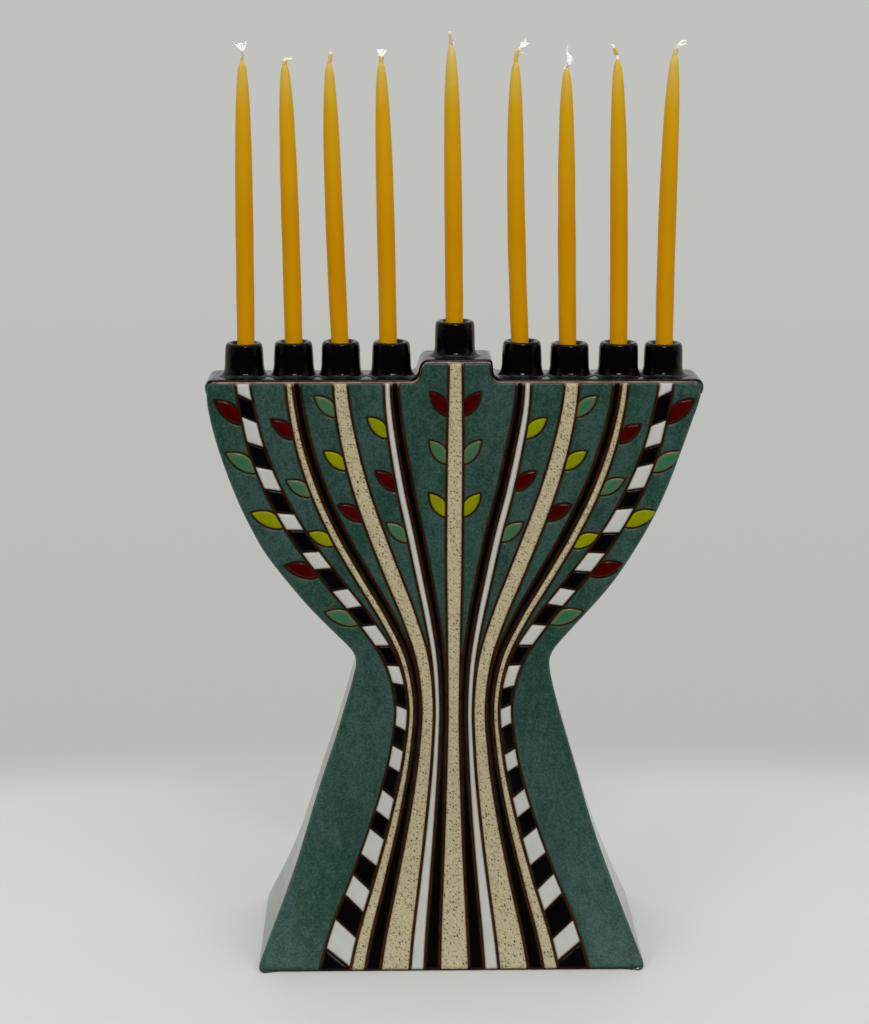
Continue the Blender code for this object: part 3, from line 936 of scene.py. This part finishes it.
def taper_piece(number):
    """A hand-dipped candle: a little uneven along its length, with a soft shoulder round the wick."""
    node = f"candle_{number}"
    rings = node_rings(node, 14)
    low = rings[0, 0]
    top = rings[-1, 0]
    heights = np.concatenate([[low, low + 0.4, low + 1.0], np.linspace(low + 3, top - 4, 62),
                              top - np.array([2.8, 1.8, 1.0, 0.5, 0.2, 0.0])])
    dice = random.Random(40 + number)
    waves = [(dice.uniform(0, 6.28), dice.uniform(9, 30), dice.uniform(0.02, 0.06)) for _ in range(4)]
    sides = 28
    verts = []
    for row, z in enumerate(heights):
        x = float(smooth_line(rings[:, 0], rings[:, 1], z))
        radius = 1.03 * float(np.interp(z, rings[:, 0], rings[:, 3]))
        if row < 2:
            radius -= (0.6, 0.15)[row]
        near_tip = min((top - z) / 3.2, 1.0)
        radius *= 0.45 + 0.55 * near_tip ** 0.65
        for k in range(sides):
            angle = 2 * math.pi * k / sides
            bulge = sum(a * math.sin(p + z / w * 3 + 2 * angle) for p, w, a in waves)
            r = radius + 0.6 * bulge * near_tip
            verts.append((x + r * math.cos(angle), r * math.sin(angle), z))
    add_piece(f"candle_{number}", "beeswax", (node,), f"taper_{number}", verts,
              ring_faces(len(heights), sides), [MATERIALS["wax"]])


def tube(path, radii, sides):
    """Closed tube along a path of points."""
    path = [Vector(p) for p in path]
    verts = []
    side = Vector((0, 1, 0))
    for k, (point, radius) in enumerate(zip(path, radii)):
        ahead = path[min(k + 1, len(path) - 1)] - path[max(k - 1, 0)]
        ahead.normalize()
        across = ahead.cross(side)
        across.normalize()
        up = across.cross(ahead)
        for j in range(sides):
            angle = 2 * math.pi * j / sides
            verts.append(tuple(point + (across * math.cos(angle) + up * math.sin(angle)) * radius))
    return verts, ring_faces(len(path), sides)


# Visible part of each wick: strands as material, radius at the start and at the end, then how far
# sideways and upwards from the middle of the wax tip each of three points lies, in mm.
WICK_STRANDS = (
    (("wax", 0.95, 0.5, 0.0, -1.6, 0.05, 0.2, 0.1, 1.6),
     ("stub", 0.62, 0.5, 0.1, 0.8, 0.2, 2.4, 0.0, 4.0),
     ("cotton", 0.5, 0.34, 0.3, 3.6, -1.2, 5.2, -2.8, 6.8),
     ("cotton", 0.46, 0.4, -0.1, 3.9, -0.8, 5.4, -1.2, 6.9),
     ("cotton", 0.5, 0.42, -1.3, 6.8, -0.4, 7.0, 0.5, 6.9),
     ("cotton", 0.46, 0.34, 0.1, 4.0, 0.3, 5.4, -0.1, 7.0),
     ("cotton", 0.44, 0.3, 0.6, 3.9, 1.4, 5.7, 1.8, 7.9)),
    (("wax", 1.15, 0.8, 0.0, -1.5, 0.1, -0.3, 0.9, 0.6),
     ("waxed", 0.8, 0.85, -0.4, 0.1, 0.5, 1.0, 1.8, 1.2),
     ("waxed", 0.85, 0.7, 1.6, 1.2, 2.4, 1.2, 3.4, 1.4)),
    (("wax", 0.85, 0.75, 0.0, -1.4, 0.2, 0.2, 0.5, 1.2),
     ("wax", 0.8, 0.95, 0.45, 0.6, 0.55, 2.2, 0.6, 3.7),
     ("waxed", 0.95, 0.55, 0.6, 3.5, 0.6, 4.2, 0.6, 4.8)),
    (("wax", 0.95, 1.15, 0.0, -1.4, 0.1, 0.6, 0.2, 2.3),
     ("cotton", 0.62, 0.4, -0.4, 2.2, -1.0, 3.8, -1.6, 5.0),
     ("cotton", 0.66, 0.5, -0.1, 2.2, -0.4, 3.8, -0.7, 4.9),
     ("cotton", 0.7, 0.5, 0.2, 2.2, 0.2, 3.8, 0.1, 5.1),
     ("cotton", 0.66, 0.5, 0.4, 2.2, 0.8, 3.8, 1.1, 5.4),
     ("cotton", 0.6, 0.4, 0.7, 2.2, 1.5, 3.7, 2.1, 4.7)),
    (("wax", 0.95, 0.6, 0.0, -1.6, 0.0, -0.6, 0.0, 0.4),
     ("stub", 0.78, 0.72, 0.1, -0.6, -0.1, 2.2, -0.6, 4.6),
     ("waxed", 0.8, 0.6, -0.6, 4.4, -0.7, 4.9, -0.8, 5.4),
     ("cotton", 0.3, 0.2, 1.1, -0.6, 0.8, 0.8, 0.2, 2.0)),
    (("wax", 1.0, 0.85, 0.0, -1.4, 0.4, 2.4, 1.5, 4.9),
     ("waxed", 0.8, 0.55, 1.2, 4.0, 1.8, 5.2, 2.6, 6.0),
     ("cotton", 0.55, 0.4, 2.0, 5.2, 2.4, 6.6, 2.5, 7.9),
     ("cotton", 0.6, 0.28, 2.2, 5.4, 3.6, 7.2, 4.4, 9.3),
     ("cotton", 0.6, 0.45, 2.4, 5.6, 4.1, 6.2, 5.8, 7.3),
     ("cotton", 0.5, 0.4, 2.6, 5.8, 3.6, 6.6, 4.8, 7.8),
     ("waxed", 0.4, 0.3, 0.8, 2.0, 1.8, 2.9, 2.7, 3.2),
     ("cotton", 0.22, 0.12, 2.4, 3.2, 3.8, 3.1, 5.2, 2.4)),
    (("wax", 0.95, 0.5, 0.0, -1.6, 0.1, -0.6, 0.2, 0.2),
     ("stub", 0.5, 0.5, 0.1, -0.6, 0.4, 1.0, 0.7, 2.4),
     ("cotton", 0.32, 0.2, -0.9, -0.4, -0.5, 0.8, 0.3, 1.8),
     ("cotton", 0.75, 0.85, 0.8, 1.6, 1.6, 3.4, 1.1, 5.6),
     ("cotton", 0.7, 0.62, 0.5, 2.4, 0.8, 4.4, 0.4, 6.8),
     ("cotton", 0.66, 0.12, 0.4, 5.4, 0.2, 7.8, 0.3, 10.2)),
    (("wax", 1.0, 0.55, 0.0, -1.6, 0.0, -0.8, 0.0, 0.2),
     ("cotton", 0.5, 0.45, 0.0, -0.4, -0.1, 0.9, -0.5, 2.2),
     ("wax", 0.75, 1.05, -0.5, 1.8, -0.8, 2.9, -1.2, 3.8),
     ("wax", 1.05, 0.8, -1.2, 3.7, -1.4, 4.5, -1.7, 5.3),
     ("cotton", 0.62, 0.42, -1.6, 5.0, -2.2, 5.8, -2.8, 6.4)),
    (("wax", 1.15, 0.75, -0.1, -1.5, 0.3, 0.5, 1.0, 2.1),
     ("waxed", 0.65, 0.6, 0.7, 1.4, 1.3, 2.6, 2.0, 3.6),
     ("cotton", 0.6, 0.5, 1.6, 3.0, 2.9, 4.7, 4.9, 4.8),
     ("cotton", 0.5, 0.4, 1.0, 1.6, 2.6, 3.1, 4.9, 3.6)),
)


def yarn(dice, twist, start, end, ax, az, bx, bz, cx, cz):
    """Three fibres wound loosely round a curve through three points, or one smooth strand."""
    shift = dice.uniform(-0.25, 0.25)
    count = 9
    control = 2 * bx - 0.5 * (ax + cx), 2 * bz - 0.5 * (az + cz)
    parts = []
    for fibre in range(3 if twist else 1):
        phase = dice.uniform(0, 6.28)
        line = []
        radii = []
        for k in range(count):
            t = k / (count - 1)
            x = (1 - t) ** 2 * ax + 2 * t * (1 - t) * control[0] + t * t * cx
            z = (1 - t) ** 2 * az + 2 * t * (1 - t) * control[1] + t * t * cz
            radius = start + (end - start) * t
            swing = 0.5 * radius if twist else 0.0
            angle = phase + 2.2 * k / count + fibre * 2.094
            line.append((x + swing * math.cos(angle), shift * t + swing * math.sin(angle), z))
            radii.append(radius * (0.75 if twist else 1.0))
        radii[-1] *= 0.5
        parts.append(tube(line, radii, 7 if twist else 12))
    return parts


def wick_piece(number):
    """The free end of a wick: waxed below, loose cotton above."""
    tip = node_rings(f"candle_{number}", 14)[-1]
    dice = random.Random(70 + number)
    order = ("cotton", "wax", "stub", "waxed")
    verts = []
    faces = []
    kinds = []
    for kind, *shape in WICK_STRANDS[number - 1]:
        for part_verts, part_faces in yarn(dice, kind in ("cotton", "stub"), *shape):
            base = len(verts)
            verts += [(x + tip[1], y, z + tip[0]) for x, y, z in part_verts]
            faces += [tuple(i + base for i in face) for face in part_faces]
            kinds += [order.index(kind)] * len(part_faces)
    add_piece(f"candle_{number}", "cotton", (f"wick_{number}",), f"wick_strands_{number}",
              verts, faces, [MATERIALS[kind] for kind in order], kinds=kinds)


# ---------------- stage, light and camera
def build_stage():
    """A pale floor that fades into a plain backdrop tone away from the object."""
    sides = 96
    angles = [2 * math.pi * k / sides for k in range(sides)]
    verts = [(0, 0, 0)] + [(FLOOR_RADIUS * math.cos(a), FLOOR_RADIUS * math.sin(a), 0) for a in angles]
    faces = [(0, 1 + k, 1 + (k + 1) % sides) for k in range(sides)]
    material, tree, shader = new_material("studio_floor")
    place = add_node(tree, "ShaderNodeTexCoord").outputs["Object"]
    oval = add_node(tree, "ShaderNodeMapping", {"Vector": place, "Scale": (0.35, 1.0, 1.0)}).outputs[0]
    distance = add_node(tree, "ShaderNodeVectorMath", {0: oval}, operation="LENGTH").outputs["Value"]
    far = map_range(tree, distance, 0.19, 0.275, interpolation_type="SMOOTHSTEP")
    path = add_node(tree, "ShaderNodeLightPath")
    seen = path.outputs["Is Camera Ray"]
    scattered = path.outputs["Is Diffuse Ray"]
    set_inputs(tree, shader, {
        "Base Color": mix(tree, scattered, (0.785, 0.785, 0.77), (0.35, 0.35, 0.34)),
        "Roughness": 0.75, "Specular IOR Level": 0.2,
    })
    behind = map_range(tree, place_on(tree, "Y"), -0.4, 0.0, 0.02, 0.50)
    tone = map_range(tree, distance, 0.3, 3.0, 0.495, 0.535)
    power = add_node(tree, "ShaderNodeMix", {0: seen, 2: behind, 3: tone}).outputs[0]
    glow = add_node(tree, "ShaderNodeEmission", {"Color": (1.0, 1.005, 0.95, 1.0), "Strength": power})
    blend = add_node(tree, "ShaderNodeMixShader", {0: far, 1: shader.outputs[0], 2: glow.outputs[0]})
    tree.links.new(blend.outputs[0], tree.nodes["Material Output"].inputs["Surface"])
    floor = mesh_object("studio_floor", verts, faces, [material], smooth=False)
    world = bpy.data.worlds.new("studio")
    bpy.context.scene.world = world
    world.use_nodes = True
    tree = world.node_tree
    back = tree.nodes["Background"]
    dim = map_range(tree, place_on(tree, "Y", "Generated"), -0.6, 0.2, 0.03, 0.60)
    seen = add_node(tree, "ShaderNodeLightPath").outputs["Is Camera Ray"]
    power = add_node(tree, "ShaderNodeMix", {0: seen, 2: dim, 3: 0.535}).outputs[0]
    back.inputs["Color"].default_value = (1.0, 1.005, 0.96, 1.0)
    tree.links.new(power, back.inputs["Strength"])


def build_lights():
    """Area lights: name, place, height aimed at, size, power and whether the glaze mirrors it."""
    for name, place, aim, size, power, mirrored in (
        ("overhead", (0.0, -0.25, 1.7), 0.2, (1.4, 1.0), 5.2, True),
        ("left_fill", (-1.3, -1.6, 0.95), 0.3, (1.2, 0.9), 11.3, False),
        ("right_fill", (1.3, -1.6, 0.95), 0.3, (1.2, 0.9), 11.3, False),
        ("glint", (0.1, -1.2, 1.5), 0.28, (0.45, 0.25), 6.5, True),
        ("back_fill", (0.0, 1.6, 1.2), 0.2, (1.6, 0.7), 3.0, False),
    ):
        data = bpy.data.lights.new(name, "AREA")
        data.shape = "RECTANGLE"
        data.size, data.size_y = size
        data.energy = power
        light = bpy.data.objects.new(name, data)
        light.location = place
        ahead = Vector((0.0, 0.0, aim)) - Vector(place)
        light.rotation_euler = ahead.to_track_quat("-Z", "Y").to_euler()
        light.visible_glossy = mirrored
        bpy.context.scene.collection.objects.link(light)


def build_camera():
    data = bpy.data.cameras.new("camera")
    data.sensor_width = SENSOR
    data.lens = FOCAL_PIXELS * SENSOR / PICTURE_HEIGHT
    data.clip_start = 0.01
    camera = bpy.data.objects.new("camera", data)
    turn = Matrix.Rotation(-math.radians(CAMERA_YAW), 3, "Z")
    turn = turn @ Matrix.Rotation(math.radians(90 - CAMERA_DOWN), 3, "X")
    turn = turn @ Matrix.Rotation(math.radians(CAMERA_ROLL), 3, "Z")
    camera.rotation_euler = turn.to_euler()
    camera.location = CAMERA_PLACE
    bpy.context.scene.collection.objects.link(camera)
    bpy.context.scene.camera = camera


# ---------------- assembly
build_camera()
build_stage()
build_lights()
bpy.context.scene.view_settings.view_transform = "Standard"

slab_piece("front_slab", MATERIALS["clay"], False, ("front_panel",))
slab_piece("back_slab", MATERIALS["side"], True, ("back_panel",))
side_piece("left_side_slab", -1, ("left_side_wall",))
side_piece("right_side_slab", 1, ("right_side_wall",))
deck_piece()
for deck in ("left_deck", "right_deck", "centre_platform"):
    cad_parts[deck].material_slots[0].material = MATERIALS["inner_clay"]

art = paint_tree()
POOL_NAMES = {
    "ground": "green_ground", "white": "white_pools", "black": "black_pools", "cream": "cream_pools",
    "lime": "lime_leaves", "red": "red_leaves", "teal": "teal_leaves",
}
for kind, name in POOL_NAMES.items():
    pool_piece(name, art.pools[kind], MATERIALS[kind])
for number in range(1, 10):
    cup_piece(number)
    taper_piece(number)
    wick_piece(number)
